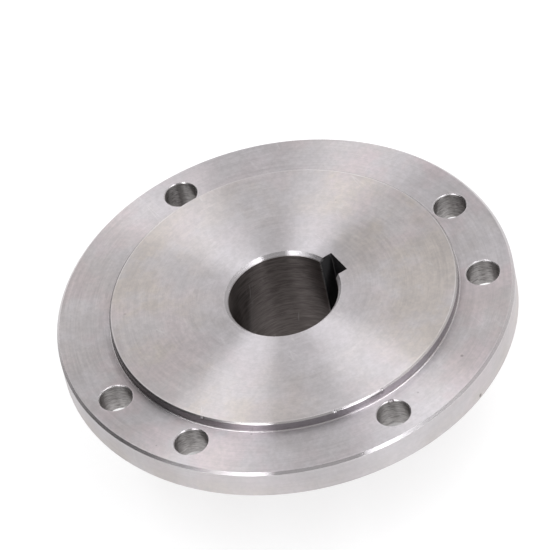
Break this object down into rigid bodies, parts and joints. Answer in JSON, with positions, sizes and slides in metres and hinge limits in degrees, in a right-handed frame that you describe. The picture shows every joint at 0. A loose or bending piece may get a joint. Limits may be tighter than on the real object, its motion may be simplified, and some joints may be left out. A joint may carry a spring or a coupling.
{
  "type": "chuck adapter flange",
  "caption": "Round steel flange with a raised register and bolt holes that carries a lathe chuck on a plain shaft, on a keyed hub held by radial set screws.",
  "frame": {"origin": "centre of the hub's end face, on the axis of the bore, which is the plane that the part stands on", "axes": "+Z along the bore towards the register and the chuck, +X through the keyway, +Y through the bolt hole that both bolt patterns share"},
  "size_m": [0.125, 0.125, 0.042],
  "materials": {
    "turned_steel": "satin turned steel with fine concentric tool marks; drilled and broached holes darker"
  },
  "bodies": {
    "root": {"adapter_flange": "turned_steel"}
  },
  "joints": []
}
